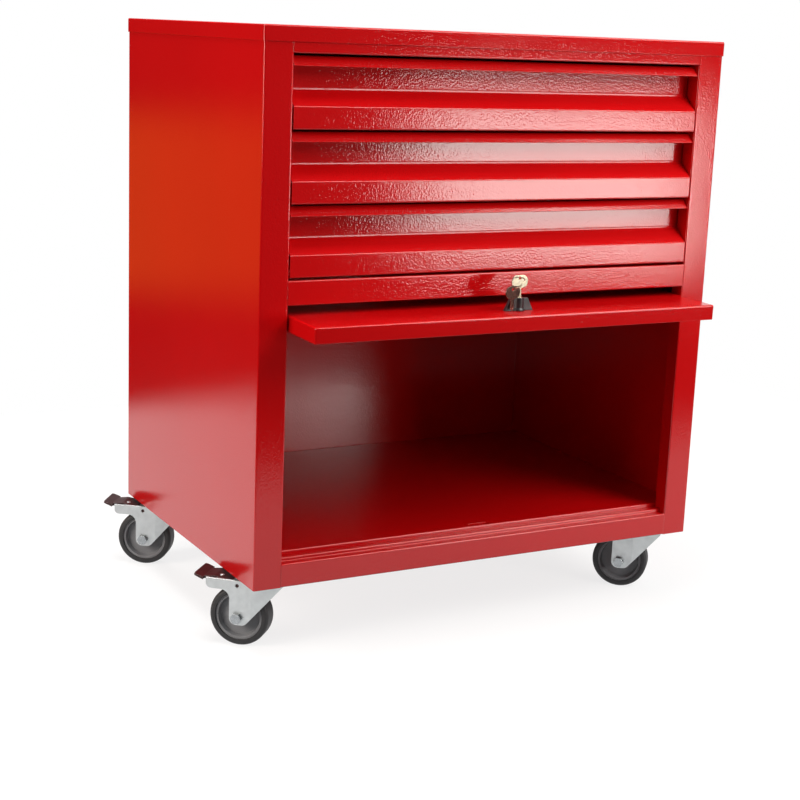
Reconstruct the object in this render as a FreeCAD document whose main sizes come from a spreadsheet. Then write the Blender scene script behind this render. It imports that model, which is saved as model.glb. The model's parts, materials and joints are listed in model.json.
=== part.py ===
# Rolling tool cabinet: a folded sheet-steel body on four swivel casters, three drawers on
# telescopic runners above a compartment whose door tilts up and slides in.
# Millimetres, +Z up, front towards -Y, origin on the floor under the middle of the body.
import FreeCAD, Part
import math
import operator
import os
import Sketcher

# Driving dimensions, each written once, in millimetres or degrees.
DIMENSIONS = {
    # body
    "body_width": 680,
    "body_depth": 470,
    "ground_clearance": 96,
    "sheet_gauge": 1.0,
    "bend_radius": 2.0,
    "stile_width": 38.5,
    "stile_return": 22,
    "back_flange": 18,
    "bottom_rail_height": 31,
    "mid_rail_height": 31,
    "top_rail_height": 31,
    "rail_return": 20,
    "step_rise": 5,
    "step_tread": 11,
    "opening_height": 330.5,
    "floor_seam": 0.5,
    "floor_lip": 18,
    "lid_skirt": 18,
    "lid_gap": 0.2,
    "bead_gap": 0.05,
    # drawers and their runners
    "drawer_pitch": 89.3,
    "drawer_gap": 3,
    "drawer_side_gap": 1.2,
    "face_height": 27.3,
    "face_return": 20,
    "recess_depth": 22,
    "recess_rise": 19.5,
    "recess_bend": 7,
    "lip_depth": 11,
    "lip_reach": 9,
    "lip_drop": 11,
    "box_depth": 400,
    "box_height": 68,
    "box_lift": 6,
    "runner_length": 390,
    "runner_height": 35,
    "runner_thickness": 12.5,
    "runner_gauge": 1.2,
    "runner_play": 0.4,
    "runner_level": 38,
    "runner_setback": 4,
    "liner_front": 40,
    "liner_rear": 30,
    "liner_flange": 12,
    # door, its carriage and its tracks
    "door_length": 318.5,
    "door_thickness": 20,
    "door_gap": 2,
    "door_foot_gap": 2,
    "door_travel": 218,
    "track_slope": 1.3,
    "hinge_setback": 17,
    "hinge_rod_radius": 3,
    "running_fit": 0.05,
    "arm_gauge": 3,
    "arm_inset": 3,
    "arm_half_height": 6,
    "arm_tail": 8,
    "rod_radius": 4,
    "first_rod": 30,
    "second_rod": 70,
    "glide_radius": 6,
    "glide_length": 28,
    "glide_play": 0.3,
    "track_gauge": 1.2,
    "track_depth": 35,
    "track_front": 26,
    "track_rear": 85,
    # lock and keys
    "lock_offset": 6,
    "lock_inset": 35,
    "knob_height": 17,
    "knob_seat": 0.3,
    "barrel_radius": 7,
    "collar_radius": 8.5,
    "collar_height": 4,
    "wing_foot": 42,
    "wing_top": 25,
    "wing_gauge": 5,
    "wing_round": 1.8,
    "collar_edge": 1.5,
    "barrel_round": 0.8,
    "shank_radius": 6.45,
    "shank_length": 24.7,
    "plug_radius": 4.5,
    "plug_stand": 0.4,
    "keyway_width": 1.4,
    "keyway_height": 6.2,
    "keyway_depth": 13,
    "cam_length": 35,
    "cam_width": 14,
    "cam_gauge": 2,
    "latch_slot_width": 30,
    "latch_slot_depth": 9,
    "latch_tab": 12,
    "key_head_width": 24,
    "key_head_height": 16.6,
    "key_head_round": 7.8,
    "key_head_gauge": 1.4,
    "key_head_rise": 20.4,
    "key_blade_width": 5.6,
    "key_blade_gauge": 1.2,
    "key_groove_width": 1.6,
    "key_groove_depth": 0.35,
    "key_hole_offset": 4.3,
    "key_hole_radius": 2.0,
    "key_tip_gap": 1.6,
    "ring_wire": 0.6,
    "ring_pitch": 50,
    "ring_seat": 0.5,
    "ring_span": 15.4,
    "ring_forward": 6,
    "ring_slack": 1.15,
    "spare_turn": 10,
    # casters
    "caster_height": 102,
    "caster_inset_x": 36,
    "caster_inset_y": 56,
    "caster_trail": 26,
    "plate_size": 60,
    "plate_gauge": 2.5,
    "bolt_spacing": 44,
    "bolt_radius": 3,
    "bolt_play": 0.3,
    "nut_circle": 5.8,
    "nut_height": 4,
    "channel_width": 64,
    "channel_gauge": 2,
    "channel_end": 24,
    "fork_gauge": 2.5,
    "crown_drop": 11,
    "race_radius": 22,
    "race_play": 0.3,
    "kingpin_radius": 5,
    "kingpin_head": 8,
    "kingpin_head_height": 3,
    "wheel_radius": 40,
    "tyre_width": 28,
    "tyre_thickness": 8,
    "tyre_shoulder": 5,
    "hub_rim": 3.5,
    "hub_rim_width": 24,
    "hub_boss_radius": 11,
    "hub_web": 8,
    "fork_play": 4,
    "boss_play": 0.5,
    "axle_radius": 4,
    "axle_head_circle": 7.5,
    "axle_head_height": 5,
    "leg_half_width": 10.5,
    "leg_foot": 9.5,
    "leg_round": 9,
    "fork_nose": 57,
    "fork_nose_height": 7,
    "fork_nose_half_width": 11,
    "fork_knee": 19,
    "fork_edge": 1.5,
    "brake_arm": 43,
    "brake_arm_height": 14,
    "brake_arm_round": 6.5,
    "brake_throat": 12,
    "crown_rear": 6,
    "pedal_reach": 60,
    "pedal_pad_width": 44,
    "pedal_pin_radius": 2.45,
    "pedal_pin_drop": 7,
    "pedal_side_gap": 1.5,
    "pedal_round": 4,
    "swivel_front_left": 43,
    "swivel_rear_left": 36,
    "swivel_front_right": 44,
    "swivel_rear_right": 38,
}

doc = FreeCAD.newDocument("ToolCabinet")
sheet = doc.addObject("Spreadsheet::Sheet", "Sizes")
SIGNS = {"+": operator.add, "-": operator.sub, "*": operator.mul, "/": operator.truediv}


# A size: its number, and the sheet expression that gives it.
class Size:
    def __init__(self, text, value):
        self.text = text
        self.value = value

    def __add__(self, other):
        return combined(self, "+", other)

    def __radd__(self, other):
        return combined(other, "+", self)

    def __sub__(self, other):
        return combined(self, "-", other)

    def __rsub__(self, other):
        return combined(other, "-", self)

    def __mul__(self, other):
        return combined(self, "*", other)

    def __rmul__(self, other):
        return combined(other, "*", self)

    def __truediv__(self, other):
        return combined(self, "/", other)

    def __rtruediv__(self, other):
        return combined(other, "/", self)

    def __neg__(self):
        return combined(0, "-", self)


def as_size(amount):
    if isinstance(amount, Size):
        return amount
    return Size("(%r)" % amount, amount)


def combined(left, sign, right):
    left = as_size(left)
    right = as_size(right)
    text = "(%s %s %s)" % (left.text, sign, right.text)
    return Size(text, SIGNS[sign](left.value, right.value))


def sine(angle):
    return Size("sin(%s)" % angle.text, math.sin(math.radians(angle.value)))


def cosine(angle):
    return Size("cos(%s)" % angle.text, math.cos(math.radians(angle.value)))


def root(square):
    return Size("sqrt(%s)" % square.text, math.sqrt(square.value))


# The sheet's cells, and one Size for each of them.
class Sizes:
    pass


size = Sizes()
for row, (alias, amount) in enumerate(DIMENSIONS.items(), start=1):
    sheet.set("A%d" % row, alias)
    sheet.set("B%d" % row, str(amount))
    sheet.setAlias("B%d" % row, alias)
    setattr(size, alias, Size("Sizes." + alias, amount))
doc.recompute()

nodes = []


def bind(thing, path, value):
    thing.setExpression(path, as_size(value).text)


# Puts an object at a point, turned about an axis by an angle.
def place(thing, at, axis=None, turn=None):
    spot = FreeCAD.Vector(*[as_size(c).value for c in at])
    spin = FreeCAD.Rotation()
    if axis is not None:
        spin = FreeCAD.Rotation(FreeCAD.Vector(*axis), turn.value)
    thing.Placement = FreeCAD.Placement(spot, spin)
    for letter, value in zip("xyz", at):
        bind(thing, "Placement.Base." + letter, value)
    if axis is not None:
        bind(thing, "Placement.Rotation.Angle", turn)


def new_body(label, at=(0, 0, 0), axis=None, turn=None):
    body = doc.addObject("PartDesign::Body", label)
    body.Label = label
    place(body, at, axis, turn)
    nodes.append(body)
    return body


def sketch_on(body, plane, height=None):
    sketch = body.newObject("Sketcher::SketchObject", body.Label + "_sketch")
    support = [f for f in body.Origin.OriginFeatures if f.Role == plane][0]
    sketch.AttachmentSupport = (support, [""])
    sketch.MapMode = "FlatFace"
    if height is not None:
        sketch.AttachmentOffset = FreeCAD.Placement(
            FreeCAD.Vector(0, 0, as_size(height).value), FreeCAD.Rotation()
        )
        bind(sketch, "AttachmentOffset.Base.z", height)
    return sketch


def fix_point(sketch, edge, end, point):
    for kind, value in zip(("DistanceX", "DistanceY"), point):
        value = as_size(value)
        index = sketch.addConstraint(Sketcher.Constraint(kind, edge, end, value.value))
        bind(sketch, "Constraints[%d]" % index, value)


def draw_polygon(sketch, points):
    first = sketch.GeometryCount
    count = len(points)
    corners = [FreeCAD.Vector(as_size(u).value, as_size(v).value, 0) for u, v in points]
    for i in range(count):
        sketch.addGeometry(Part.LineSegment(corners[i], corners[(i + 1) % count]), False)
    for i in range(count):
        after = first + (i + 1) % count
        sketch.addConstraint(Sketcher.Constraint("Coincident", first + i, 2, after, 1))
    for i in range(count):
        fix_point(sketch, first + i, 1, points[i])


def draw_rectangle(sketch, low, high):
    corners = [low, (high[0], low[1]), high, (low[0], high[1])]
    draw_polygon(sketch, corners)


def draw_circle(sketch, centre, radius):
    spot = FreeCAD.Vector(as_size(centre[0]).value, as_size(centre[1]).value, 0)
    normal = FreeCAD.Vector(0, 0, 1)
    radius = as_size(radius)
    edge = sketch.addGeometry(Part.Circle(spot, normal, radius.value), False)
    fix_point(sketch, edge, 3, centre)
    index = sketch.addConstraint(Sketcher.Constraint("Radius", edge, radius.value))
    bind(sketch, "Constraints[%d]" % index, radius)


def pad(body, sketch, length, side="Symmetric"):
    feature = body.newObject("PartDesign::Pad", body.Label + "_pad")
    feature.Profile = sketch
    feature.SideType = side
    bind(feature, "Length", length)
    return feature


# Cuts a sketch out of a body: to a depth, or right through where no depth is given.
def cut(body, sketch, depth=None, upwards=False):
    doc.recompute()
    before = body.Shape.Volume
    feature = body.newObject("PartDesign::Pocket", body.Label + "_cut")
    feature.Profile = sketch
    if depth is None:
        feature.Type = "ThroughAll"
        feature.SideType = "Symmetric"
    else:
        feature.SideType = "One side"
        feature.Reversed = upwards
        bind(feature, "Length", depth)
    doc.recompute()
    if not body.Shape.Volume < before:
        raise RuntimeError("a cut in %s removed nothing" % body.Label)


def revolve(body, sketch, axis):
    feature = body.newObject("PartDesign::Revolution", body.Label + "_turned")
    feature.Profile = sketch
    line = [f for f in body.Origin.OriginFeatures if f.Role == axis][0]
    feature.ReferenceAxis = (line, [""])
    return feature


# Rounds the edges of the body's last feature that the test picks.
def round_edges(body, radius, picked):
    doc.recompute()
    tip = body.Tip
    names = ["Edge%d" % (i + 1) for i, e in enumerate(tip.Shape.Edges) if picked(e)]
    if not names:
        raise RuntimeError("no edge to round on %s" % body.Label)
    feature = body.newObject("PartDesign::Fillet", body.Label + "_round")
    feature.Base = (tip, names)
    bind(feature, "Radius", radius)
    return feature


TOUCH = 1e-4
PLANE_AXES = {"XY_Plane": (0, 1, 2), "XZ_Plane": (0, 2, 1), "YZ_Plane": (1, 2, 0)}


# An edge that runs along the pad's direction through one of the given profile points.
def runs_through(plane, spots):
    u, v, w = PLANE_AXES[plane]

    def picked(edge):
        ends = [vertex.Point for vertex in edge.Vertexes]
        if len(ends) != 2 or abs(ends[0][w] - ends[1][w]) < TOUCH:
            return False
        return any(
            max(abs(p[u] - a) for p in ends) < TOUCH and max(abs(p[v] - b) for p in ends) < TOUCH
            for a, b in spots
        )

    return picked


def is_level(edge, axis, value):
    return all(abs(vertex.Point[axis] - value) < TOUCH for vertex in edge.Vertexes)


def is_upright(edge):
    ends = [vertex.Point for vertex in edge.Vertexes]
    return len(ends) == 2 and abs(ends[0].z - ends[1].z) > TOUCH


# Unit direction from one profile point to the next; plain numbers along an axis.
def heading(start, end):
    du = as_size(end[0]) - start[0]
    dv = as_size(end[1]) - start[1]
    if abs(du.value) < TOUCH:
        return 0.0, math.copysign(1.0, dv.value)
    if abs(dv.value) < TOUCH:
        return math.copysign(1.0, du.value), 0.0
    length = root(du * du + dv * dv)
    return du / length, dv / length


def number(value):
    return as_size(value).value


# The parallel line of a folded sheet's section, one gauge away on its chosen side.
def parallel(points, shift):
    headings = [heading(a, b) for a, b in zip(points, points[1:])]
    normals = [(-1 * dv, du) for du, dv in headings]
    result = []
    for i, (u, v) in enumerate(points):
        one = normals[max(i - 1, 0)]
        two = normals[min(i, len(normals) - 1)]
        spread = 1 + one[0] * two[0] + one[1] * two[1]
        move = [(one[k] + two[k]) / spread for k in (0, 1)]
        result.append(tuple(p if number(m) == 0 else p + shift * m for p, m in zip((u, v), move)))
    return result


# A sheet folded along a section and drawn out to a length. The sections are the lines of
# the sheet's face, and side is 1 where the metal lies left of them, -1 where right.
def folded(body, plane, sections, gauge, bend, length, side=1, special=None):
    sketch = sketch_on(body, plane)
    outer = {}
    inner = {}
    for points in sections:
        other = parallel(points, gauge * side)
        draw_polygon(sketch, points + other[::-1])
        for i in range(1, len(points) - 1):
            one = [number(c) for c in heading(points[i - 1], points[i])]
            two = [number(c) for c in heading(points[i], points[i + 1])]
            turns_to_metal = (one[0] * two[1] - one[1] * two[0]) * side > 0
            radius = (special or {}).get(i, bend)
            wide, tight = (points[i], other[i]) if turns_to_metal else (other[i], points[i])
            outer.setdefault(radius.text, (radius, []))[1].append([number(c) for c in wide])
            inner.setdefault(radius.text, (radius, []))[1].append([number(c) for c in tight])
    pad(body, sketch, length)
    for radius, spots in outer.values():
        round_edges(body, radius, runs_through(plane, spots))
    for radius, spots in inner.values():
        round_edges(body, radius - gauge, runs_through(plane, spots))


def mirrored(points):
    return [(-1 * as_size(u), v) for u, v in points]


# Lines and levels that the pieces share.
half = size.body_width / 2
front = -1 * (size.body_depth / 2)
back = size.body_depth / 2
gauge = size.sheet_gauge
bend = size.bend_radius
base = size.ground_clearance
wall = half - gauge
jamb = half - size.stile_width
tread_level = base + size.bottom_rail_height + size.step_rise
floor_level = tread_level + size.step_rise
mid_low = base + size.bottom_rail_height + size.opening_height
mid_top = mid_low + size.mid_rail_height
DRAWERS = ("bottom", "middle", "top")
bay_top = mid_top + size.drawer_pitch * len(DRAWERS) + size.drawer_gap
body_top = bay_top + size.top_rail_height
floor_front = front + size.stile_return + size.floor_seam
SIDES = (("left", -1), ("right", 1))


# Side panels: one sheet each, folded into the front stile, its return and a rear flange.
def make_sides():
    section = [
        (jamb, front + size.stile_return),
        (jamb, front),
        (half, front),
        (half, back),
        (half - size.back_flange, back),
    ]
    height = body_top - base
    for name, sign in SIDES:
        body = new_body("side_panel_" + name, (0, 0, base + height / 2))
        points = section if sign > 0 else mirrored(section)
        folded(body, "XY_Plane", [points], gauge, bend, height, sign)


def make_back():
    panel = doc.addObject("Part::Box", "back_panel")
    panel.Label = "back_panel"
    edge = wall - bend
    bind(panel, "Length", edge * 2)
    bind(panel, "Width", gauge)
    bind(panel, "Height", body_top - base)
    place(panel, (-1 * edge, back - gauge * 2, base))
    nodes.append(panel)


# The bottom rail climbs to the compartment floor in two small steps, the door's rebate.
def make_rails():
    rear = front + size.rail_return
    step = front + size.step_tread
    rail_top = base + size.bottom_rail_height
    stepped = [
        (rear, base),
        (front, base),
        (front, rail_top),
        (step, rail_top),
        (step, tread_level),
        (floor_front, tread_level),
    ]
    folded(new_body("bottom_rail"), "YZ_Plane", [stepped], gauge, bend, jamb * 2, -1)
    for name, low, high in (("mid_rail", mid_low, mid_top), ("top_rail", bay_top, body_top)):
        channel = [(rear, low), (front, low), (front, high), (rear, high)]
        folded(new_body(name), "YZ_Plane", [channel], gauge, bend, jamb * 2, -1)


# Seam beads: the filled corners where the rails' ends meet the bends of the stiles.
def make_beads():
    group = new_body("seam_beads")
    reach = bend + size.bead_gap
    curve = []
    for degrees in (255, 240, 225, 210, 195):
        angle = math.radians(degrees)
        curve.append((bend + reach * math.cos(angle), bend + reach * math.sin(angle)))
    rails = (
        (base, size.bottom_rail_height),
        (mid_low, size.mid_rail_height),
        (bay_top, size.top_rail_height),
    )
    for low, height in rails:
        sketch = sketch_on(group, "XY_Plane", low + bend / 2)
        for sign in (-1, 1):
            points = [(sign * jamb, front)]
            points += [(sign * (jamb + u), front + v) for u, v in curve]
            draw_polygon(sketch, points)
        pad(group, sketch, height - bend, "One side")


# Compartment floor, with the slot that the door's cam drops into and the tab turned down behind it.
def make_floor():
    body = new_body("compartment_floor")
    rear = back - gauge * 2
    section = [
        (floor_front, floor_level - size.floor_lip),
        (floor_front, floor_level),
        (rear, floor_level),
        (rear, floor_level - size.floor_lip),
    ]
    folded(body, "YZ_Plane", [section], gauge, bend, wall * 2, -1)
    slot = sketch_on(body, "XY_Plane")
    slot_side = size.latch_slot_width / 2
    slot_front = floor_front + bend
    low = (size.lock_offset - slot_side, slot_front)
    high = (size.lock_offset + slot_side, slot_front + size.latch_slot_depth)
    draw_rectangle(slot, low, high)
    cut(body, slot)
    tab = sketch_on(body, "XY_Plane", floor_level - size.latch_tab)
    draw_rectangle(tab, (low[0], high[1]), (high[0], high[1] + gauge))
    pad(body, tab, size.latch_tab - gauge / 2, "One side")


# Lid: a shallow pan turned over the body's top edges.
def make_lid():
    outer_x = half + size.lid_gap + gauge
    outer_y = back + size.lid_gap + gauge
    low = body_top - size.lid_skirt
    height = size.lid_skirt + gauge
    body = new_body("top_lid", (0, 0, low))
    sketch = sketch_on(body, "XY_Plane")
    draw_rectangle(sketch, (-1 * outer_x, -1 * outer_y), (outer_x, outer_y))
    pad(body, sketch, height, "One side")
    top = height.value
    round_edges(body, bend, lambda e: is_level(e, 2, top) or is_upright(e))
    inside = sketch_on(body, "XY_Plane")
    draw_rectangle(
        inside, (gauge - outer_x, gauge - outer_y), (outer_x - gauge, outer_y - gauge)
    )
    cut(body, inside, size.lid_skirt, upwards=True)


# Liners: hat-section sheets on the side walls that carry the runners level with the jambs.
def make_liners():
    first = front + size.liner_front
    last = back - size.liner_rear
    face = jamb + gauge
    section = [
        (wall, first - size.liner_flange),
        (wall, first),
        (face, first),
        (face, last),
        (wall, last),
        (wall, last + size.liner_flange),
    ]
    height = bay_top - mid_top
    for name, sign in SIDES:
        body = new_body("slide_liner_" + name, (0, 0, mid_top + height / 2))
        points = section if sign > 0 else mirrored(section)
        folded(body, "XY_Plane", [points], gauge, bend, height, sign)


# Base channels under the floor, which the caster plates bolt to.
def make_base_channels():
    low = size.caster_height
    high = floor_level - gauge
    side = size.channel_width / 2
    section = [(-1 * side, high), (-1 * side, low), (side, low), (side, high)]
    length = size.body_depth - size.stile_return - size.channel_end * 2
    middle = (size.stile_return + size.floor_seam) / 2
    for name, sign in SIDES:
        spot = (sign * (half - size.caster_inset_x), middle, 0)
        body = new_body("base_channel_" + name, spot)
        folded(body, "XZ_Plane", [section], size.channel_gauge, size.channel_gauge * 2, length)
        holes = sketch_on(body, "XY_Plane")
        for end in (-1, 1):
            axis_y = end * (back - size.caster_inset_y) - middle
            for dx, dy in bolt_corners():
                draw_circle(holes, (dx, axis_y + dy), size.bolt_radius + size.bolt_play)
        cut(body, holes)


def bolt_corners():
    step = size.bolt_spacing / 2
    return [(i * step, j * step) for i in (-1, 1) for j in (-1, 1)]


# The three nested channels of a telescopic runner, as sections in X and Z.
def runner_sections(level):
    tall = size.runner_height / 2
    thin = size.runner_gauge
    play = size.runner_play
    box_side = jamb - size.runner_thickness
    fixed_edge = box_side + thin + play
    mid_web = jamb - thin - play * 2
    mid_tall = tall - thin - play
    inner_tall = mid_tall - thin - play
    inner_edge = mid_web - thin - play * 2
    fixed = channel(fixed_edge, jamb, tall, level)
    middle = channel(fixed_edge, mid_web, mid_tall, level)
    inner = channel(inner_edge, box_side, inner_tall, level)
    return fixed, middle, inner


def channel(edge, web, tall, level):
    return [(edge, level - tall), (web, level - tall), (web, level + tall), (edge, level + tall)]


runner_middle = (
    size.recess_depth + gauge + size.runner_setback + size.runner_length / 2
)


def drawer_level(index):
    return mid_top + size.drawer_gap + size.drawer_pitch * index


# Draws the runner channels of both sides in one node.
def make_runners(label, at, rights, metal):
    body = new_body(label, at)
    thin = size.runner_gauge
    sketch = sketch_on(body, "XZ_Plane")
    for section in rights:
        for sign in (1, -1):
            points = section if sign > 0 else mirrored(section)
            other = parallel(points, thin * (sign * metal))
            draw_polygon(sketch, points + other[::-1])
    pad(body, sketch, size.runner_length)


def make_fixed_runners():
    at = (0, front + runner_middle, 0)
    rights = []
    for index in range(len(DRAWERS)):
        rights.append(runner_sections(drawer_level(index) + size.runner_level)[0])
    make_runners("outer_runners", at, rights, 1)


# Drawer front: one strip folded into the face, the finger slope, the recess and the lip.
def make_drawer_front(name, at):
    recess = size.recess_depth
    lip_level = size.drawer_pitch - size.drawer_gap - gauge
    lip_front = recess - size.lip_depth
    section = [
        (size.face_return, 0),
        (0, 0),
        (0, size.face_height),
        (recess, size.face_height + size.recess_rise),
        (recess, lip_level),
        (lip_front, lip_level),
        (lip_front - size.lip_reach, lip_level - size.lip_drop),
    ]
    body = new_body("drawer_front_" + name, at)
    width = (jamb - size.drawer_side_gap) * 2
    folded(body, "YZ_Plane", [section], gauge, bend, width, -1, {3: size.recess_bend})


# Drawer box: a tray folded from one sheet.
def make_drawer_box(name, at):
    body = new_body("drawer_box_" + name, at)
    side = jamb - size.runner_thickness
    low = size.recess_depth + gauge
    sketch = sketch_on(body, "XY_Plane", size.box_lift)
    draw_rectangle(sketch, (-1 * side, low), (side, low + size.box_depth))
    pad(body, sketch, size.box_height, "One side")
    bottom = size.box_lift.value
    round_edges(body, bend, lambda e: is_level(e, 2, bottom) or is_upright(e))
    inside = sketch_on(body, "XY_Plane", size.box_lift + size.box_height)
    draw_rectangle(
        inside, (gauge - side, low + gauge), (side - gauge, low + size.box_depth - gauge)
    )
    cut(body, inside, size.box_height - gauge)


def make_drawers():
    for index, name in enumerate(DRAWERS):
        at = (0, front, drawer_level(index))
        runner_at = (0, front + runner_middle, drawer_level(index))
        sections = runner_sections(size.runner_level)
        make_drawer_front(name, at)
        make_drawer_box(name, at)
        make_runners("inner_runners_" + name, runner_at, [sections[2]], -1)
        make_runners("mid_runners_" + name, runner_at, [sections[1]], 1)


# The door's hinge line. Closed, the door stands flush in the opening; open, it has swung
# level with its tracks and slid in by its travel.
slope = size.track_slope
door_reach = size.door_length - size.hinge_setback
door_half = size.door_thickness / 2
hinge_y = front + door_half + size.door_travel * cosine(slope)
hinge_z = tread_level + size.door_foot_gap + door_reach + size.door_travel * sine(slope)
door_side = jamb - size.door_gap
lock_y = size.lock_inset - door_reach


# A point of the sloping door frame, in the part's own frame.
def on_door(x, y, z):
    return (x, hinge_y + y * cosine(slope) - z * sine(slope), hinge_z + y * sine(slope) + z * cosine(slope))


def door_body(label, x=0, y=0, z=0):
    return new_body(label, on_door(x, as_size(y), as_size(z)), (1, 0, 0), slope)


# Door: a pan whose open side faces down while the door is open.
def make_door():
    body = door_body("door_panel")
    low = (-1 * door_side, -1 * door_reach)
    high = (door_side, size.hinge_setback)
    block = sketch_on(body, "XY_Plane")
    draw_rectangle(block, low, high)
    pad(body, block, size.door_thickness)
    skin = door_half.value
    round_edges(body, bend, lambda e: is_level(e, 2, skin) or is_upright(e))
    inside = sketch_on(body, "XY_Plane", -1 * door_half)
    draw_rectangle(
        inside, (low[0] + gauge, low[1] + gauge), (high[0] - gauge, high[1] - gauge)
    )
    cut(body, inside, size.door_thickness - gauge, upwards=True)
    notches = sketch_on(body, "XY_Plane", -1 * door_half)
    notch_side = door_side - gauge
    notch_width = size.arm_inset * 2 + size.arm_gauge
    for sign in (-1, 1):
        sides = sorted((sign * notch_side, sign * (notch_side - notch_width)), key=number)
        draw_rectangle(
            notches,
            (sides[0], size.hinge_setback - gauge * 2),
            (sides[1], size.hinge_setback + gauge),
        )
    cut(body, notches, door_half + size.arm_half_height + gauge, upwards=True)
    bores = sketch_on(body, "YZ_Plane")
    draw_circle(bores, (0, 0), size.hinge_rod_radius + size.running_fit)
    cut(body, bores)
    lock_bore = sketch_on(body, "XY_Plane")
    draw_circle(lock_bore, (size.lock_offset, lock_y), size.shank_radius + size.running_fit)
    cut(body, lock_bore)


# Carriage: two arms on two cross rods, with the hinge rod that the door swings on.
def make_carriage():
    body = door_body("door_carriage")
    arm_outer = door_side - gauge - size.arm_inset
    arms = sketch_on(body, "XY_Plane")
    for sign in (-1, 1):
        sides = sorted((sign * arm_outer, sign * (arm_outer - size.arm_gauge)), key=number)
        draw_rectangle(
            arms,
            (sides[0], -1 * size.arm_half_height),
            (sides[1], size.second_rod + size.arm_tail),
        )
    pad(body, arms, size.arm_half_height * 2)
    rods = sketch_on(body, "YZ_Plane")
    for y in (size.first_rod, size.second_rod):
        draw_circle(rods, (y, 0), size.rod_radius)
    glide_end = wall - size.track_gauge - size.glide_play
    pad(body, rods, glide_end * 2 - size.glide_play * 2)
    hinge = sketch_on(body, "YZ_Plane")
    draw_circle(hinge, (0, 0), size.hinge_rod_radius)
    pad(body, hinge, (door_side + size.door_gap / 2) * 2)
    glides = door_body("door_glides")
    for height in (glide_end - size.glide_length, -1 * glide_end):
        rings = sketch_on(glides, "YZ_Plane", height)
        for y in (size.first_rod, size.second_rod):
            draw_circle(rings, (y, 0), size.glide_radius)
            draw_circle(rings, (y, 0), size.rod_radius + size.running_fit)
        pad(glides, rings, size.glide_length, "One side")


# Tracks: channels on the side walls, behind the stiles, that the glides run in.
def make_tracks():
    tall = size.glide_radius + size.glide_play + size.track_gauge
    section = channel(wall - size.track_depth, wall, tall, as_size(0))
    start = size.track_front - door_half - size.door_travel
    length = size.track_rear - start
    for name, sign in SIDES:
        body = door_body("door_track_" + name, 0, start + length / 2, 0)
        points = section if sign > 0 else mirrored(section)
        sketch = sketch_on(body, "XZ_Plane")
        other = parallel(points, size.track_gauge * sign)
        draw_polygon(sketch, points + other[::-1])
        pad(body, sketch, length)


# Lock: a wing knob on the door, its cam, and the key plug inside it.
def make_lock():
    seat = (size.lock_offset, lock_y, door_half)
    knob = door_body("lock_knob", *seat)
    profile = sketch_on(knob, "XZ_Plane")
    foot = size.knob_seat
    collar_top = foot + size.collar_height
    neck = size.barrel_radius
    draw_polygon(
        profile,
        [
            (0, -1 * size.shank_length),
            (size.shank_radius, -1 * size.shank_length),
            (size.shank_radius, foot),
            (size.collar_radius, foot),
            (size.collar_radius, foot + size.collar_edge),
            (neck, collar_top),
            (neck, foot + size.knob_height),
            (0, foot + size.knob_height),
        ],
    )
    revolve(knob, profile, "Z_Axis")
    top = foot + size.knob_height
    round_edges(knob, size.barrel_round, lambda e: is_level(e, 2, top.value))
    wings = sketch_on(knob, "XZ_Plane")
    foot_side = size.wing_foot / 2
    top_side = size.wing_top / 2
    wing_top = top - size.barrel_round
    draw_polygon(
        wings,
        [(-1 * foot_side, foot), (foot_side, foot), (top_side, wing_top), (-1 * top_side, wing_top)],
    )
    pad(knob, wings, size.wing_gauge)
    tips = [(s * number(top_side), number(wing_top)) for s in (-1, 1)]
    round_edges(knob, size.wing_round, runs_through("XZ_Plane", tips))
    bore = sketch_on(knob, "XY_Plane")
    draw_circle(bore, (0, 0), size.plug_radius + size.running_fit)
    cut(knob, bore)

    cam = door_body("lock_cam", *seat)
    sketch = sketch_on(cam, "XY_Plane", -1 * size.shank_length - size.cam_gauge)
    side = size.cam_width / 2
    draw_rectangle(sketch, (-1 * side, -1 * side), (size.cam_length, side))
    pad(cam, sketch, size.cam_gauge, "One side")
    round_edges(cam, side / 2, is_upright)

    plug = door_body("lock_plug", *seat)
    barrel = sketch_on(plug, "XY_Plane", -1 * size.shank_length + size.cam_gauge)
    draw_circle(barrel, (0, 0), size.plug_radius)
    plug_top = top + size.plug_stand
    pad(plug, barrel, plug_top + size.shank_length - size.cam_gauge, "One side")
    keyway = sketch_on(plug, "XY_Plane", plug_top)
    way = (size.keyway_height / 2, size.keyway_width / 2)
    draw_rectangle(keyway, (-1 * way[0], -1 * way[1]), way)
    cut(plug, keyway, size.keyway_depth)

    head_level = top + size.key_head_rise
    make_key(door_body("key", *seat), head_level, top - size.keyway_depth + size.plug_stand * 2)
    hang_spare_key(seat, head_level)


# A flat key in the body's XZ plane: oval head with a ring hole, and a grooved blade.
def make_key(body, head_level, tip_level):
    head = sketch_on(body, "XZ_Plane")
    head_side = size.key_head_width / 2
    head_low = head_level - size.key_head_height / 2
    head_top = head_level + size.key_head_height / 2
    draw_rectangle(head, (-1 * head_side, head_low), (head_side, head_top))
    pad(body, head, size.key_head_gauge)
    ends = [(s * number(head_side), number(v)) for s in (-1, 1) for v in (head_low, head_top)]
    round_edges(body, size.key_head_round, runs_through("XZ_Plane", ends))
    blade = sketch_on(body, "XZ_Plane")
    side = size.key_blade_width / 2
    shoulder = tip_level + side
    draw_polygon(
        blade,
        [(0, tip_level), (side, shoulder), (side, head_level), (-1 * side, head_level), (-1 * side, shoulder)],
    )
    pad(body, blade, size.key_blade_gauge)
    groove = sketch_on(body, "XZ_Plane", size.key_blade_gauge / 2)
    groove_side = size.key_groove_width / 2
    groove_top = head_low - size.key_groove_depth
    draw_rectangle(groove, (-1 * groove_side, shoulder), (groove_side, groove_top))
    cut(body, groove, size.key_groove_depth)
    hole = sketch_on(body, "XZ_Plane")
    draw_circle(hole, (0, head_level + size.key_hole_offset), size.key_hole_radius)
    cut(body, hole)


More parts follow.
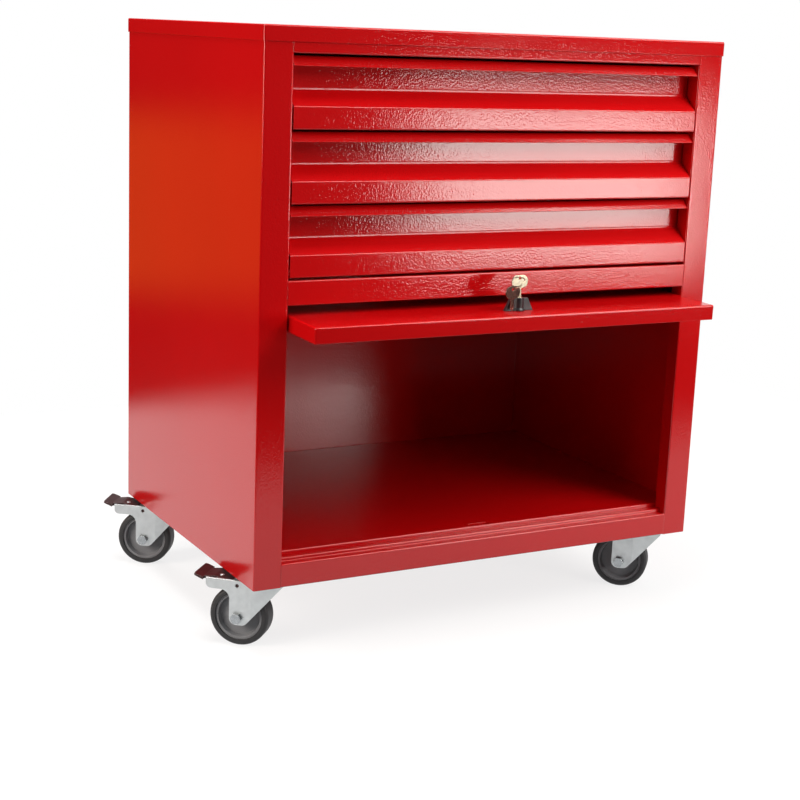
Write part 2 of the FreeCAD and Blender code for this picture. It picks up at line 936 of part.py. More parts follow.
# The spare key hangs plumb in front of the knob, on a ring that passes through the key's
# hole and round the lower left of its head.
def hang_spare_key(seat, head_level):
    hole = on_door(seat[0], seat[1], seat[2] + head_level + size.key_hole_offset)
    chord = size.ring_span / 2
    ring_radius = root(chord * chord + size.ring_forward * size.ring_forward)

    def along(distance, drop=0):
        x = hole[0] - distance * sine(size.ring_pitch)
        z = hole[2] - distance * cosine(size.ring_pitch) - drop
        return (x, hole[1] - size.ring_forward, z)

    middle = size.ring_seat + chord
    ring = new_body("key_ring", along(middle), (0, 1, 0), size.ring_pitch)
    wire = sketch_on(ring, "XY_Plane")
    draw_circle(wire, (0, ring_radius), size.ring_wire)
    revolve(ring, wire, "X_Axis")
    centre = along(middle + ring_radius, size.ring_slack + size.key_hole_offset)
    spare = new_body("spare_key", centre, (0, 0, 1), size.spare_turn)
    door_top = on_door(seat[0], seat[1], seat[2])[2]
    make_key(spare, as_size(0), door_top + size.key_tip_gap - centre[2])


# Casters. Each is drawn with its swivel axis at the origin, its wheel trailing towards -X.
CORNERS = (
    ("front_left", -1, -1, size.swivel_front_left, True),
    ("rear_left", -1, 1, size.swivel_rear_left, True),
    ("front_right", 1, -1, size.swivel_front_right, False),
    ("rear_right", 1, 1, size.swivel_rear_right, False),
)
crown_top = size.caster_height - size.crown_drop
crown_low = crown_top - size.fork_gauge
leg_inner = size.tyre_width / 2 + size.fork_play
leg_outer = leg_inner + size.fork_gauge
pin_level = crown_top - size.pedal_pin_drop


def make_plate(name, spot):
    body = new_body("caster_plate_" + name, spot)
    under = size.caster_height - size.plate_gauge
    profile = sketch_on(body, "XZ_Plane")
    head_top = crown_low - size.race_play
    head_low = head_top - size.kingpin_head_height
    race_low = crown_top + size.race_play
    draw_polygon(
        profile,
        [
            (0, head_low),
            (size.kingpin_head, head_low),
            (size.kingpin_head, head_top),
            (size.kingpin_radius, head_top),
            (size.kingpin_radius, race_low),
            (size.race_radius, race_low),
            (size.race_radius, under),
            (0, under),
        ],
    )
    revolve(body, profile, "Z_Axis")
    plate = sketch_on(body, "XY_Plane", under)
    side = size.plate_size / 2
    draw_rectangle(plate, (-1 * side, -1 * side), (side, side))
    for corner in bolt_corners():
        draw_circle(plate, corner, size.bolt_radius + size.bolt_play)
    pad(body, plate, size.plate_gauge, "One side")


# Fork: a pressed yoke with two legs, a crown, a tapered nose, and brake arms where braked.
def make_fork(name, spot, turn, braked):
    body = new_body("caster_fork_" + name, spot, (0, 0, -1), turn)
    axle_x = -1 * size.caster_trail
    axle_z = size.wheel_radius
    foot = axle_z - size.leg_foot
    side = size.leg_half_width
    arm_low = crown_top - size.brake_arm_height
    outline = [
        (axle_x + size.fork_nose, crown_top),
        (axle_x + size.fork_nose, crown_top - size.fork_nose_height),
        (axle_x + side, foot),
        (axle_x - side, foot),
    ]
    if braked:
        tail = axle_x - size.brake_arm
        outline += [(axle_x - side, arm_low), (tail, arm_low), (tail, crown_top)]
    else:
        outline += [(axle_x - side, crown_top)]
    section = sketch_on(body, "XZ_Plane")
    draw_polygon(section, outline)
    pad(body, section, leg_outer * 2)
    feet = [(number(axle_x + side), number(foot)), (number(axle_x - side), number(foot))]
    round_edges(body, size.leg_round, runs_through("XZ_Plane", feet))
    if braked:
        tips = [(number(tail), number(arm_low))]
        round_edges(body, size.brake_arm_round, runs_through("XZ_Plane", tips))
        throat = [(number(axle_x - side), number(arm_low))]
        round_edges(body, size.brake_throat, runs_through("XZ_Plane", throat))
    top = crown_top.value
    flank = leg_outer.value
    round_edges(
        body,
        size.fork_edge,
        lambda e: is_level(e, 2, top) and (is_level(e, 1, flank) or is_level(e, 1, -flank)),
    )
    knee = axle_x + size.fork_knee
    nose = axle_x + size.fork_nose
    nose_half = size.fork_nose_half_width
    beyond = size.fork_nose * 2
    flanks = sketch_on(body, "XY_Plane")
    for sign in (-1, 1):
        draw_polygon(
            flanks,
            [
                (knee, sign * leg_outer),
                (nose, sign * nose_half),
                (nose + gauge, sign * nose_half),
                (nose + gauge, sign * (leg_outer + gauge)),
                (knee, sign * (leg_outer + gauge)),
            ],
        )
    cut(body, flanks)
    hollow = sketch_on(body, "XY_Plane")
    thin = size.fork_gauge
    draw_polygon(
        hollow,
        [
            (axle_x - beyond, -1 * leg_inner),
            (knee, -1 * leg_inner),
            (nose - thin, thin - nose_half),
            (nose - thin, nose_half - thin),
            (knee, leg_inner),
            (axle_x - beyond, leg_inner),
        ],
    )
    cut(body, hollow, crown_low, upwards=True)
    if braked:
        slot = sketch_on(body, "XY_Plane")
        slot_end = axle_x - size.crown_rear
        draw_rectangle(slot, (axle_x - beyond, -1 * leg_inner), (slot_end, leg_inner))
        cut(body, slot)
    pivot = sketch_on(body, "XY_Plane")
    draw_circle(pivot, (0, 0), size.kingpin_radius + size.running_fit)
    cut(body, pivot)
    bores = sketch_on(body, "XZ_Plane")
    draw_circle(bores, (axle_x, axle_z), size.axle_radius + size.running_fit)
    if braked:
        draw_circle(bores, (axle_x, pin_level), size.pedal_pin_radius + size.running_fit)
    cut(body, bores)


def on_caster(spot, turn, x, z):
    return (spot[0] + x * cosine(turn), spot[1] - x * sine(turn), z)


def make_wheel(name, spot, turn):
    centre = on_caster(spot, turn, -1 * size.caster_trail, size.wheel_radius)
    rim = size.wheel_radius - size.tyre_thickness
    hub = new_body("wheel_hub_" + name, centre, (0, 0, -1), turn)
    profile = sketch_on(hub, "XY_Plane")
    bore = size.axle_radius + size.running_fit
    boss_end = leg_inner - size.boss_play
    web = size.hub_web / 2
    rim_half = size.hub_rim_width / 2
    rim_inner = rim - size.hub_rim
    upper = [
        (rim, rim_half),
        (rim_inner, rim_half),
        (rim_inner - size.hub_rim / 2, web),
        (size.hub_boss_radius, web),
        (size.hub_boss_radius, boss_end),
        (bore, boss_end),
    ]
    draw_polygon(profile, upper + [(r, -1 * y) for r, y in upper[::-1]])
    revolve(hub, profile, "Y_Axis")

    tyre = new_body("wheel_tyre_" + name, centre, (0, 0, -1), turn)
    section = sketch_on(tyre, "XY_Plane")
    half_tyre = size.tyre_width / 2
    draw_rectangle(section, (rim, -1 * half_tyre), (size.wheel_radius, half_tyre))
    revolve(tyre, section, "Y_Axis")
    tread = size.wheel_radius.value
    round_edges(
        tyre,
        size.tyre_shoulder,
        lambda e: hasattr(e.Curve, "Radius") and abs(e.Curve.Radius - tread) < TOUCH,
    )

    axle = new_body("caster_axle_" + name, centre, (0, 0, -1), turn)
    shaft = sketch_on(axle, "XZ_Plane")
    draw_circle(shaft, (0, 0), size.axle_radius)
    pad(axle, shaft, leg_outer * 2)
    for height in (leg_outer, -1 * leg_outer - size.axle_head_height):
        head = sketch_on(axle, "XZ_Plane", height)
        draw_polygon(head, hexagon(size.axle_head_circle))
        pad(axle, head, size.axle_head_height, "One side")


def hexagon(radius):
    turns = [math.radians(60 * i) for i in range(6)]
    return [(radius * round(math.cos(a), 6), radius * round(math.sin(a), 6)) for a in turns]


# Brake pedal: a pressed lever on a pin between the fork's brake arms, with a shoe below
# and a wide foot pad that rises behind the arms.
def make_pedal(name, spot, turn):
    at = on_caster(spot, turn, -1 * size.caster_trail, pin_level)
    body = new_body("brake_pedal_" + name, at, (0, 0, -1), turn)
    reach = size.pedal_reach
    lift = size.pedal_pin_drop
    foot_pad = [
        (-0.78 * reach, lift),
        (-0.98 * reach, lift * 1.6),
        (-1 * reach, lift * 1.25),
        (-0.78 * reach, lift * 0.5),
    ]
    lever = [
        (lift * 0.6, -0.4 * lift),
        (lift * 0.6, lift * 0.5),
        (-0.15 * reach, lift * 0.65),
        (-0.55 * reach, lift * 1.25),
        (-0.68 * reach, lift * 1.1),
        foot_pad[0],
        foot_pad[3],
        (-0.68 * reach, lift * 0.55),
        (-0.55 * reach, lift * 0.4),
        (-0.455 * reach, lift * -0.85),
        (-0.39 * reach, lift * -0.85),
        (-0.15 * reach, lift * -0.4),
    ]
    profile = sketch_on(body, "XZ_Plane")
    draw_polygon(profile, lever)
    pad(body, profile, (leg_inner - size.pedal_side_gap) * 2)
    crest = [(number(u), number(v)) for u, v in lever[3:5]]
    round_edges(body, size.pedal_round, runs_through("XZ_Plane", crest))
    tread = sketch_on(body, "XZ_Plane")
    draw_polygon(tread, foot_pad)
    pad(body, tread, size.pedal_pad_width)
    edge = size.pedal_pad_width.value / 2
    tail = -0.97 * reach.value
    round_edges(
        body,
        size.pedal_round,
        lambda e: (is_level(e, 1, edge) or is_level(e, 1, -edge))
        and all(vertex.Point[0] < tail for vertex in e.Vertexes),
    )
    pin = sketch_on(body, "XZ_Plane")
    draw_circle(pin, (0, 0), size.pedal_pin_radius)
    pad(body, pin, leg_inner + leg_outer)


# Bolts through the caster plates and base channels, heads below and nuts above.
def make_bolts(spots):
    bolts = []
    under = size.caster_height - size.plate_gauge
    over = size.caster_height + size.channel_gauge
    for x, y, _ in spots:
        for dx, dy in bolt_corners():
            pieces = []
            for level in (under - size.nut_height, over):
                nut = doc.addObject("Part::Prism", "bolt_hex")
                nut.Polygon = 6
                bind(nut, "Circumradius", size.nut_circle)
                bind(nut, "Height", size.nut_height)
                place(nut, (x + dx, y + dy, level))
                pieces.append(nut)
            shank = doc.addObject("Part::Cylinder", "bolt_shank")
            bind(shank, "Radius", size.bolt_radius)
            bind(shank, "Height", over + size.nut_height * 2 - under)
            place(shank, (x + dx, y + dy, under - size.nut_height))
            bolt = doc.addObject("Part::MultiFuse", "bolt")
            bolt.Shapes = pieces + [shank]
            bolts.append(bolt)
    group = doc.addObject("Part::Compound", "caster_bolts")
    group.Label = "caster_bolts"
    group.Links = bolts
    nodes.append(group)


def make_casters():
    spots = []
    for name, along_x, along_y, turn, braked in CORNERS:
        x = along_x * (half - size.caster_inset_x)
        y = along_y * (back - size.caster_inset_y)
        spot = (x, y, as_size(0))
        spots.append(spot)
        make_plate(name, spot)
        make_fork(name, spot, turn, braked)
        make_wheel(name, spot, turn)
        if braked:
            make_pedal(name, spot, turn)
    make_bolts(spots)


make_sides()
make_back()
make_rails()
make_beads()
make_floor()
make_lid()
make_liners()
make_base_channels()
make_fixed_runners()
make_drawers()
make_door()
make_carriage()
make_tracks()
make_lock()
make_casters()
doc.recompute()

for thing in doc.Objects:
    if "Invalid" in thing.State or "Error" in thing.State:
        raise RuntimeError("%s did not build: %s" % (thing.Label, thing.State))
for node in nodes:
    if node.Shape.isNull() or not node.Shape.isValid() or not node.Shape.Solids:
        raise RuntimeError("%s has no sound shape" % node.Label)

os.makedirs("parts", exist_ok=True)
for node in nodes:
    node.Shape.exportStep(os.path.join("parts", node.Label + ".step"))
print("%d pieces written" % len(nodes))
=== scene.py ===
import bmesh
import bpy
import json
import math
from mathutils import Matrix, Vector


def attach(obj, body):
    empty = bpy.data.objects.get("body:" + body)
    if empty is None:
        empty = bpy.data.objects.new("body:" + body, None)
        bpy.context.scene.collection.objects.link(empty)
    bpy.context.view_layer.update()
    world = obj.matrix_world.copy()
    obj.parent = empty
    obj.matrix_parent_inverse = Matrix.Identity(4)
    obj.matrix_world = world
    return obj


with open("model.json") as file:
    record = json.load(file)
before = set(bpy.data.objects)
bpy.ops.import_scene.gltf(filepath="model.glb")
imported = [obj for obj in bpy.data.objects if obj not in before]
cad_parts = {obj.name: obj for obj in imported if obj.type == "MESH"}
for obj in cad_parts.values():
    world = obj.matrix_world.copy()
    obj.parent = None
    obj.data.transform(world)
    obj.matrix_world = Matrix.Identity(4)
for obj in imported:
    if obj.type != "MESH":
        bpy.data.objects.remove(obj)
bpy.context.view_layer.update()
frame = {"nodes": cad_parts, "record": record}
nodes = frame["nodes"]
scene = bpy.context.scene
print("frame loaded:", len(nodes), "nodes")


def linear(hexText):
    channels = [int(hexText[i:i + 2], 16) / 255 for i in (1, 3, 5)]
    return [c / 12.92 if c <= 0.04045 else ((c + 0.055) / 1.055) ** 2.4 for c in channels] + [1.0]


def addNode(tree, kind, inputs=None, **settings):
    node = tree.nodes.new(kind)
    for key, value in settings.items():
        setattr(node, key, value)
    for key, value in (inputs or {}).items():
        if isinstance(value, bpy.types.NodeSocket):
            tree.links.new(value, node.inputs[key])
        else:
            node.inputs[key].default_value = value
    return node


def startMaterial(name):
    material = bpy.data.materials.new(name)
    material.use_nodes = True
    material.node_tree.nodes.clear()
    return material, material.node_tree


def endMaterial(tree, inputs):
    shader = addNode(tree, "ShaderNodeBsdfPrincipled", inputs)
    addNode(tree, "ShaderNodeOutputMaterial", {"Surface": shader.outputs["BSDF"]})


def addMix(tree, share, low, high):
    mix = addNode(tree, "ShaderNodeMix", {"Factor": share, "A": low, "B": high}, data_type="RGBA")
    return mix.outputs["Result"]


# Noise in the object's own millimetres.
def addNoise(tree, place, sizeMm, detail):
    noise = addNode(tree, "ShaderNodeTexNoise", {"Vector": place, "Scale": 1000 / sizeMm, "Detail": detail})
    return noise.outputs["Fac"]


# Cosines between the flat and the rounded normal where the edge tint starts and where it is full: wear on
# most finishes, partly a painted highlight on the powder coat.
edgeMask = {"start": 0.99, "full": 0.80, "samples": 4}


# Rounded-edge normal, and a mask of the edge tint: how worn the edge is, and on the powder coat also a
# painted highlight along the bends.
def addEdge(tree, look):
    bevel = addNode(
        tree, "ShaderNodeBevel", {"Radius": look["edgeMm"] / 1000}, samples=edgeMask["samples"],
    )
    soft = bevel.outputs["Normal"]
    flat = addNode(tree, "ShaderNodeNewGeometry").outputs["Normal"]
    match = addNode(tree, "ShaderNodeVectorMath", {0: flat, 1: soft}, operation="DOT_PRODUCT")
    edge = addNode(tree, "ShaderNodeMapRange", {
        "Value": match.outputs["Value"], "From Min": edgeMask["start"], "From Max": edgeMask["full"],
        "To Min": 0.0, "To Max": look["edgeWearAndHighlightShare"],
    })
    return soft, edge.outputs["Result"]


# Powder coat baked on sheet steel: a wet-looking red whose orange peel breaks every reflection into grain,
# with edges lightened partly as thin paint and partly as a painted highlight along the bends.
powderCoat = {
    "red": "#c4060a",
    "deepRed": "#b60407",
    # Lighter red at the edges: partly thin paint over the bends, partly a painted highlight along them.
    "edgeWearAndHighlight": "#d42f2a",
    "peelMm": 2.0,  # a little coarser than the real 1 to 1.5 mm, so that it shows at this distance
    "peelDetail": 0.0,
    "grainMm": 1.0,
    "grainDetail": 1.0,
    "grainShare": 0.3,
    "driftMm": 260,
    "driftDetail": 3.0,
    "peelDepthMm": 0.12,
    "roughness": (0.42, 0.56),
    "specular": 0.03,
    "coat": 1.0,
    "coatRoughness": 0.08,
    "edgeMm": 0.8,
    # How strongly the edges take that lighter red, painted highlight included.
    "edgeWearAndHighlightShare": 0.4,
}


def makePowderCoat(name, look):
    material, tree = startMaterial(name)
    place = addNode(tree, "ShaderNodeTexCoord").outputs["Object"]
    peel = addNoise(tree, place, look["peelMm"], look["peelDetail"])
    grain = addNoise(tree, place, look["grainMm"], look["grainDetail"])
    drift = addNoise(tree, place, look["driftMm"], look["driftDetail"])
    height = addNode(
        tree, "ShaderNodeMath", {0: grain, 1: look["grainShare"], 2: peel}, operation="MULTIPLY_ADD",
    )
    soft, edge = addEdge(tree, look)
    bump = addNode(tree, "ShaderNodeBump", {
        "Strength": 1.0, "Distance": look["peelDepthMm"] / 1000,
        "Height": height.outputs["Value"], "Normal": soft,
    })
    tint = addMix(tree, drift, linear(look["deepRed"]), linear(look["red"]))
    # Lighter edges: partly thin paint, partly a painted highlight along the bends.
    edgeWearAndHighlight = addMix(tree, edge, tint, linear(look["edgeWearAndHighlight"]))
    rough = addNode(tree, "ShaderNodeMapRange", {
        "Value": peel, "To Min": look["roughness"][0], "To Max": look["roughness"][1],
    })
    endMaterial(tree, {
        "Base Color": edgeWearAndHighlight, "Roughness": rough.outputs["Result"], "Specular IOR Level": look["specular"],
        "Coat Weight": look["coat"], "Coat Roughness": look["coatRoughness"],
        "Normal": bump.outputs["Normal"], "Coat Normal": bump.outputs["Normal"],
    })
    return material


# Zinc-plated steel: cool grey metal with a faint cloudy bloom, brighter where its edges are rubbed.
zincPlate = {
    "bright": "#d2d7d8", "dull": "#b9bec0", "edgeWearAndHighlight": "#e8ebeb", "edgeWearAndHighlightShare": 0.5, "cloudMm": 9,
    "roughness": (0.30, 0.48), "metallic": 0.9, "edgeMm": 0.6, "pitMm": 0.8, "pitDepthMm": 0.02,
}
# Bright steel of the bolts and axles: darker and shinier than the pressed forks around it.
boltSteel = {
    "bright": "#b4b9bc", "dull": "#8a9093", "edgeWearAndHighlight": "#e6e8e8", "edgeWearAndHighlightShare": 0.6, "cloudMm": 5,
    "roughness": (0.20, 0.34), "metallic": 1.0, "edgeMm": 0.5, "pitMm": 0.6, "pitDepthMm": 0.02,
}
# Bright nickel: the keys' warm mirror, a little worn.
nickelPlate = {
    "bright": "#cfc5ad", "dull": "#9a917e", "edgeWearAndHighlight": "#ece4d0", "edgeWearAndHighlightShare": 0.5, "cloudMm": 4,
    "roughness": (0.16, 0.34), "metallic": 1.0, "edgeMm": 0.4, "pitMm": 0.6, "pitDepthMm": 0.01,
}
# Older nickel of the spare key: browner and smoother, so that it mirrors the red around it.
agedNickel = {
    "bright": "#ac7d70", "dull": "#865a50", "edgeWearAndHighlight": "#ece0cc", "edgeWearAndHighlightShare": 0.8, "cloudMm": 4,
    "roughness": (0.10, 0.22), "metallic": 1.0, "edgeMm": 0.5, "pitMm": 0.6, "pitDepthMm": 0.01,
}
# Moulded grey polypropylene of the wheel centres, paler on the scuffed rims.
hubPolymer = {
    "bright": "#8c8e92", "dull": "#7a7c80", "edgeWearAndHighlight": "#b4b6b9", "edgeWearAndHighlightShare": 0.5, "cloudMm": 14,
    "roughness": (0.42, 0.55), "metallic": 0.0, "edgeMm": 0.9, "pitMm": 0.5, "pitDepthMm": 0.02,
}
# Black rubber tread, dusty enough to read as dark grey.
tyreRubber = {
    "bright": "#2c2c2e", "dull": "#1f1f21", "edgeWearAndHighlight": "#4c4c4e", "edgeWearAndHighlightShare": 0.5, "cloudMm": 12,
    "roughness": (0.44, 0.62), "metallic": 0.0, "edgeMm": 0.9, "pitMm": 0.7, "pitDepthMm": 0.04,
}
# Glossy black moulding of the lock's wings.
blackPolymer = {
    "bright": "#303033", "dull": "#222224", "edgeWearAndHighlight": "#5a5a5e", "edgeWearAndHighlightShare": 0.5, "cloudMm": 10,
    "roughness": (0.24, 0.36), "metallic": 0.0, "edgeMm": 0.9, "pitMm": 0.4, "pitDepthMm": 0.006,
}
# Natural nylon of the door's glides: pale, waxy and even.
nylon = {
    "bright": "#e4e0d4", "dull": "#d3cfc2", "edgeWearAndHighlight": "#f0ede4", "edgeWearAndHighlightShare": 0.3, "cloudMm": 8,
    "roughness": (0.4, 0.5), "metallic": 0.0, "edgeMm": 0.5, "pitMm": 0.6, "pitDepthMm": 0.01,
}
# Dark maroon paint of the brake pedals, rubbed to bare grey steel along the edges.
pedalPaint = {
    "bright": "#421a1c", "dull": "#2c1011", "edgeWearAndHighlight": "#b9b3b0", "edgeWearAndHighlightShare": 0.5, "cloudMm": 16,
    "roughness": (0.42, 0.58), "metallic": 0.0, "edgeMm": 0.8, "pitMm": 0.9, "pitDepthMm": 0.03,
}
# What all the plain finishes share.
plainLook = {"cloudDetail": 4.0, "pitDetail": 2.0, "bumpStrength": 0.6}


def makePlain(name, look):
    material, tree = startMaterial(name)
    place = addNode(tree, "ShaderNodeTexCoord").outputs["Object"]
    cloud = addNoise(tree, place, look["cloudMm"], plainLook["cloudDetail"])
    pits = addNoise(tree, place, look["pitMm"], plainLook["pitDetail"])
    soft, edge = addEdge(tree, look)
    bump = addNode(tree, "ShaderNodeBump", {
        "Strength": plainLook["bumpStrength"], "Distance": look["pitDepthMm"] / 1000,
        "Height": pits, "Normal": soft,
    })
    tint = addMix(tree, cloud, linear(look["dull"]), linear(look["bright"]))
    edgeWearAndHighlight = addMix(tree, edge, tint, linear(look["edgeWearAndHighlight"]))
    rough = addNode(tree, "ShaderNodeMapRange", {
        "Value": cloud, "To Min": look["roughness"][1], "To Max": look["roughness"][0],
    })
    endMaterial(tree, {
        "Base Color": edgeWearAndHighlight, "Roughness": rough.outputs["Result"],
        "Metallic": look["metallic"], "Normal": bump.outputs["Normal"],
    })
    return material


finishes = {
    "red_paint": makePowderCoat("powderCoat", powderCoat),
    "zinc": makePlain("zincPlate", zincPlate),
    "nickel": makePlain("nickelPlate", nickelPlate),
    "hub_plastic": makePlain("hubPolymer", hubPolymer),
    "tyre_rubber": makePlain("tyreRubber", tyreRubber),
    "black_plastic": makePlain("blackPolymer", blackPolymer),
    "nylon": makePlain("nylon", nylon),
    "pedal_paint": makePlain("pedalPaint", pedalPaint),
}
spareKeyFinish = makePlain("agedNickel", agedNickel)
boltFinish = makePlain("boltSteel", boltSteel)


def pickFinish(name, slot):
    if name == "spare_key":
        return spareKeyFinish
    if "axle" in name or "bolt" in name:
        return boltFinish
    return finishes[slot]


for entry in frame["record"]["subparts"]:
    mesh = nodes[entry["node"]].data
    mesh.materials.clear()
    mesh.materials.append(pickFinish(entry["node"], entry["material_slot"]))

# Ears at the ends of the latch slot: the strike pocket's sides, turned down under the floor.
strikeEars = {
    "strikeEarLeft": {"low": (-0.0095, -0.2115, 0.1245), "high": (-0.0085, -0.2015, 0.1362)},
    "strikeEarRight": {"low": (0.0205, -0.2115, 0.1245), "high": (0.0215, -0.2015, 0.1362)},
}


def makeBlock(name, look):
    ends = (look["low"], look["high"])
    corners = [(x, y, z) for x in (0, 1) for y in (0, 1) for z in (0, 1)]
    points = [[ends[side][axis] for axis, side in enumerate(corner)] for corner in corners]
    faces = [(0, 1, 3, 2), (4, 6, 7, 5), (0, 4, 5, 1), (2, 3, 7, 6), (0, 2, 6, 4), (1, 5, 7, 3)]
    mesh = bpy.data.meshes.new(name)
    mesh.from_pydata(points, [], faces)
    block = bpy.data.objects.new(name, mesh)
    scene.collection.objects.link(block)
    return block


for earName, earLook in strikeEars.items():
    ear = makeBlock(earName, earLook)
    ear.data.materials.append(finishes["red_paint"])
    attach(ear, "cabinet")
print("strike ears placed:", len(strikeEars))

# Rivets on the brake pedals: low zinc domes, one on the near side of each lever.
pedalRivets = {
    "rivetFrontLeft": {"on": "pedal_front_left", "at": (-0.3461, -0.1480, 0.0914)},
    "rivetRearLeft": {"on": "pedal_rear_left", "at": (-0.3496, 0.2047, 0.0914)},
}
rivetLook = {"radius": 0.0032, "rise": 0.0014, "sides": 20, "rings": 10}


def makeRivet(name, spot, look):
    shape = bmesh.new()
    bmesh.ops.create_uvsphere(shape, u_segments=look["sides"], v_segments=look["rings"], radius=1)
    bmesh.ops.scale(shape, vec=(look["radius"], look["radius"], look["rise"]), verts=shape.verts)
    bmesh.ops.translate(shape, vec=spot, verts=shape.verts)
    mesh = bpy.data.meshes.new(name)
    shape.to_mesh(mesh)
    shape.free()
    mesh.shade_smooth()
    rivet = bpy.data.objects.new(name, mesh)
    scene.collection.objects.link(rivet)
    return rivet


for rivetName, spot in pedalRivets.items():
    rivet = makeRivet(rivetName, spot["at"], rivetLook)
    rivet.data.materials.append(finishes["zinc"])
    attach(rivet, spot["on"])
print("pedal rivets placed:", len(pedalRivets))

# Camera at the photo's place: its focal length and turn come from the fit to the photo's edges.
cameraLook = {
    "at": (-1.1269, -2.0080, 0.7935), "azimuth": 29.087, "elevation": 12.915, "roll": 2.321,
    "lensMm": 73.07, "sensorMm": 36, "near": 0.05,
}


def makeCamera(look):
    data = bpy.data.cameras.new("photoCamera")
    data.lens = look["lensMm"]
    data.sensor_width = look["sensorMm"]
    data.clip_start = look["near"]
    camera = bpy.data.objects.new("photoCamera", data)
    scene.collection.objects.link(camera)
    az, el, roll = [math.radians(look[k]) for k in ("azimuth", "elevation", "roll")]
    ahead = Vector((math.sin(az) * math.cos(el), math.cos(az) * math.cos(el), -math.sin(el)))
    right = Vector((math.cos(az), -math.sin(az), 0))
    up = right.cross(ahead)
    rolledRight = right * math.cos(roll) + up * math.sin(roll)
    rolledUp = up * math.cos(roll) - right * math.sin(roll)
    turn = Matrix((rolledRight, rolledUp, -ahead)).transposed()
    camera.matrix_world = Matrix.Translation(look["at"]) @ turn.to_4x4()
    scene.camera = camera


makeCamera(cameraLook)
print("camera set")

# Studio: a white paper floor no larger than the object needs, soft boxes, and dark air past them.
studio = {
    "paper": (-1.0, -1.05, 1.4, 1.15),  # left, front, right, back
    "paperColour": "#828282",
    "paperLift": 0.79,  # added for the camera, so that the open paper reads as white
    "paperSheen": 0.68,  # added for reflections, which see the same white paper
    "flag": (0.350, 0.95, -0.245, 0.30, 1.0),  # left, right, depth, foot and head
    "airDiffuse": 0.15,
    "airReflected": 0.01,  # the dark room in front of the backdrop
    "backdrop": (0.486, 0.874, 0.0),  # where the white backdrop stands, seen from the object
    "backdropEdge": (0.82, 0.94),  # cosines of the angles at which it fades out and is full
    "unmirrored": ["rearBox"],  # its mirror image would burn the lid out to white
}
softBoxes = {
    "frontBox": {
        "at": (1.02, -1.605, 0.46), "to": (0.2, -0.2, 0.46), "size": (0.64, 0.38),
        "watts": 8.8, "colour": "#fffaf6",
    },
    "highBox": {
        "at": (1.13, -1.43, 1.8), "to": (0.0, -0.2, 0.4), "size": (1.3, 1.3),
        "watts": 40, "colour": "#fffaf6",
    },
    "topBox": {
        "at": (-0.4, -0.1, 2.6), "to": (0.0, 0.0, 0.4), "size": (1.4, 1.0),
        "watts": 58, "colour": "#ffffff",
    },
    "leftBox": {
        "at": (-2.3, -0.15, 1.1), "to": (-0.3, 0.0, 0.45), "size": (1.2, 1.2),
        "watts": 43, "colour": "#fff4ea",
    },
    "rearBox": {
        "at": (0.3, 2.4, 1.7), "to": (0.0, 0.2, 0.45), "size": (1.2, 0.8),
        "watts": 26, "colour": "#ffffff",
    },
    "warmCard": {
        "at": (-1.6, 2.1, 0.28), "to": (-0.4, 0.0, 0.5), "size": (2.4, 0.5),
        "watts": 2.2, "colour": "#ff8a20",
    },
}


def addStage(name, points, material):
    mesh = bpy.data.meshes.new(name)
    mesh.from_pydata(points, [], [(0, 1, 2, 3)])
    mesh.materials.append(material)
    plane = bpy.data.objects.new(name, mesh)
    scene.collection.objects.link(plane)
    return plane


# One for rays that come off a mirror or through glass, which should see the white background too.
def addMirrored(tree, path):
    either = addNode(tree, "ShaderNodeMath", {
        0: path.outputs["Is Glossy Ray"], 1: path.outputs["Is Transmission Ray"],
    }, operation="ADD", use_clamp=True)
    return either.outputs["Value"]


# Grey paper, so that little light bounces up from it, lifted to white for the camera and for mirrors.
def addPaper(look):
    left, front, right, back = look["paper"]
    paper, tree = startMaterial("studioPaper")
    path = addNode(tree, "ShaderNodeLightPath")
    shade = addNode(tree, "ShaderNodeBsdfDiffuse", {"Color": linear(look["paperColour"])})
    sheen = addNode(
        tree, "ShaderNodeMath", {0: addMirrored(tree, path), 1: look["paperSheen"]}, operation="MULTIPLY",
    )
    lift = addNode(tree, "ShaderNodeMath", {
        0: path.outputs["Is Camera Ray"], 1: look["paperLift"], 2: sheen.outputs["Value"],
    }, operation="MULTIPLY_ADD")
    glow = addNode(tree, "ShaderNodeEmission", {"Strength": lift.outputs["Value"]})
    both = addNode(tree, "ShaderNodeAddShader", {0: shade.outputs["BSDF"], 1: glow.outputs["Emission"]})
    addNode(tree, "ShaderNodeOutputMaterial", {"Surface": both.outputs["Shader"]})
    addStage("studioFloor", [(left, front, 0), (right, front, 0), (right, back, 0), (left, back, 0)], paper)


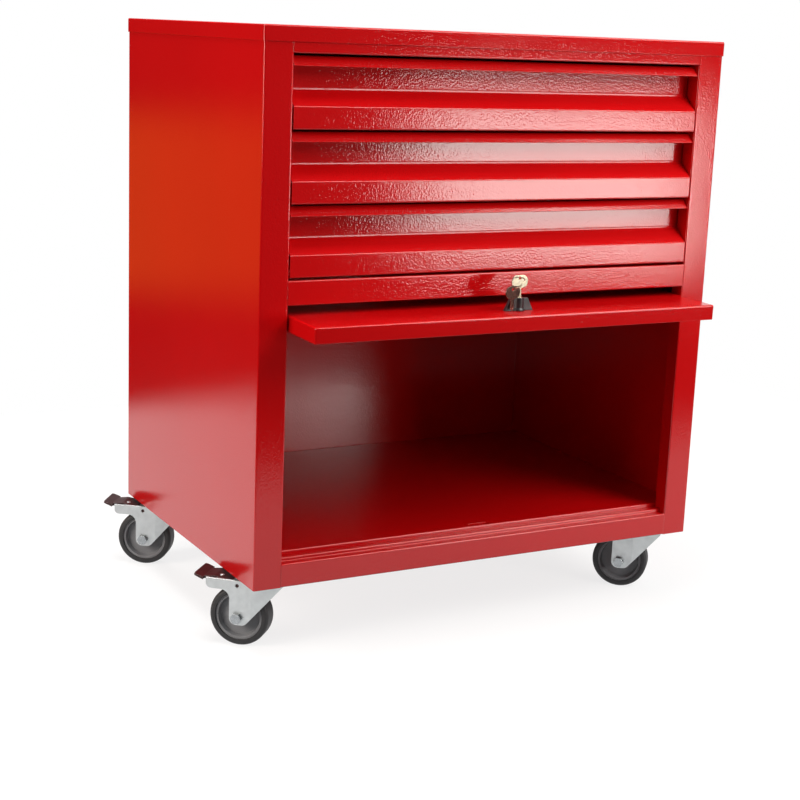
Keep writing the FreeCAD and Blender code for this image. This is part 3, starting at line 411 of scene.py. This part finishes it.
# Black card that reflections alone see: it keeps the front box off the right side panel.
def addFlag(extent):
    left, right, depth, foot, head = extent
    card, tree = startMaterial("studioCard")
    endMaterial(tree, {"Base Color": (0, 0, 0, 1), "Roughness": 1.0, "Specular IOR Level": 0.0})
    points = [(left, depth, foot), (right, depth, foot), (right, depth, head), (left, depth, head)]
    flag = addStage("studioFlag", points, card)
    flag.visible_camera = False
    flag.visible_diffuse = False
    flag.visible_shadow = False


def addBox(name, box, mirrored):
    light = bpy.data.lights.new(name, "AREA")
    light.shape = "RECTANGLE"
    light.size, light.size_y = box["size"]
    light.energy = box["watts"]
    light.color = linear(box["colour"])[:3]
    lamp = bpy.data.objects.new(name, light)
    lamp.location = box["at"]
    lamp.rotation_euler = (Vector(box["to"]) - Vector(box["at"])).to_track_quat("-Z", "Y").to_euler()
    lamp.visible_camera = False
    lamp.visible_glossy = mirrored
    scene.collection.objects.link(lamp)


# White for the camera, and for reflections towards the backdrop; a dim even fill otherwise.
def addAir(look):
    world = bpy.data.worlds.new("studioAir")
    world.use_nodes = True
    scene.world = world
    tree = world.node_tree
    tree.nodes.clear()
    path = addNode(tree, "ShaderNodeLightPath")
    toward = addNode(tree, "ShaderNodeTexCoord").outputs["Generated"]
    facing = addNode(tree, "ShaderNodeVectorMath", {
        0: toward, 1: look["backdrop"],
    }, operation="DOT_PRODUCT")
    backdrop = addNode(tree, "ShaderNodeMapRange", {
        "Value": facing.outputs["Value"],
        "From Min": look["backdropEdge"][0], "From Max": look["backdropEdge"][1],
        "To Min": look["airReflected"], "To Max": 1.0,
    })
    air = addNode(tree, "ShaderNodeMapRange", {
        "Value": addMirrored(tree, path),
        "To Min": look["airDiffuse"], "To Max": backdrop.outputs["Result"],
    })
    seen = addNode(tree, "ShaderNodeMath", {
        0: air.outputs["Result"], 1: path.outputs["Is Camera Ray"],
    }, operation="MAXIMUM")
    glow = addNode(tree, "ShaderNodeBackground", {"Color": (1, 1, 1, 1), "Strength": seen.outputs["Value"]})
    addNode(tree, "ShaderNodeOutputWorld", {"Surface": glow.outputs["Background"]})


addPaper(studio)
addFlag(studio["flag"])
for boxName, boxLook in softBoxes.items():
    addBox(boxName, boxLook, boxName not in studio["unmirrored"])
addAir(studio)
scene.view_settings.view_transform = "Standard"
print("studio set:", len(softBoxes), "soft boxes")
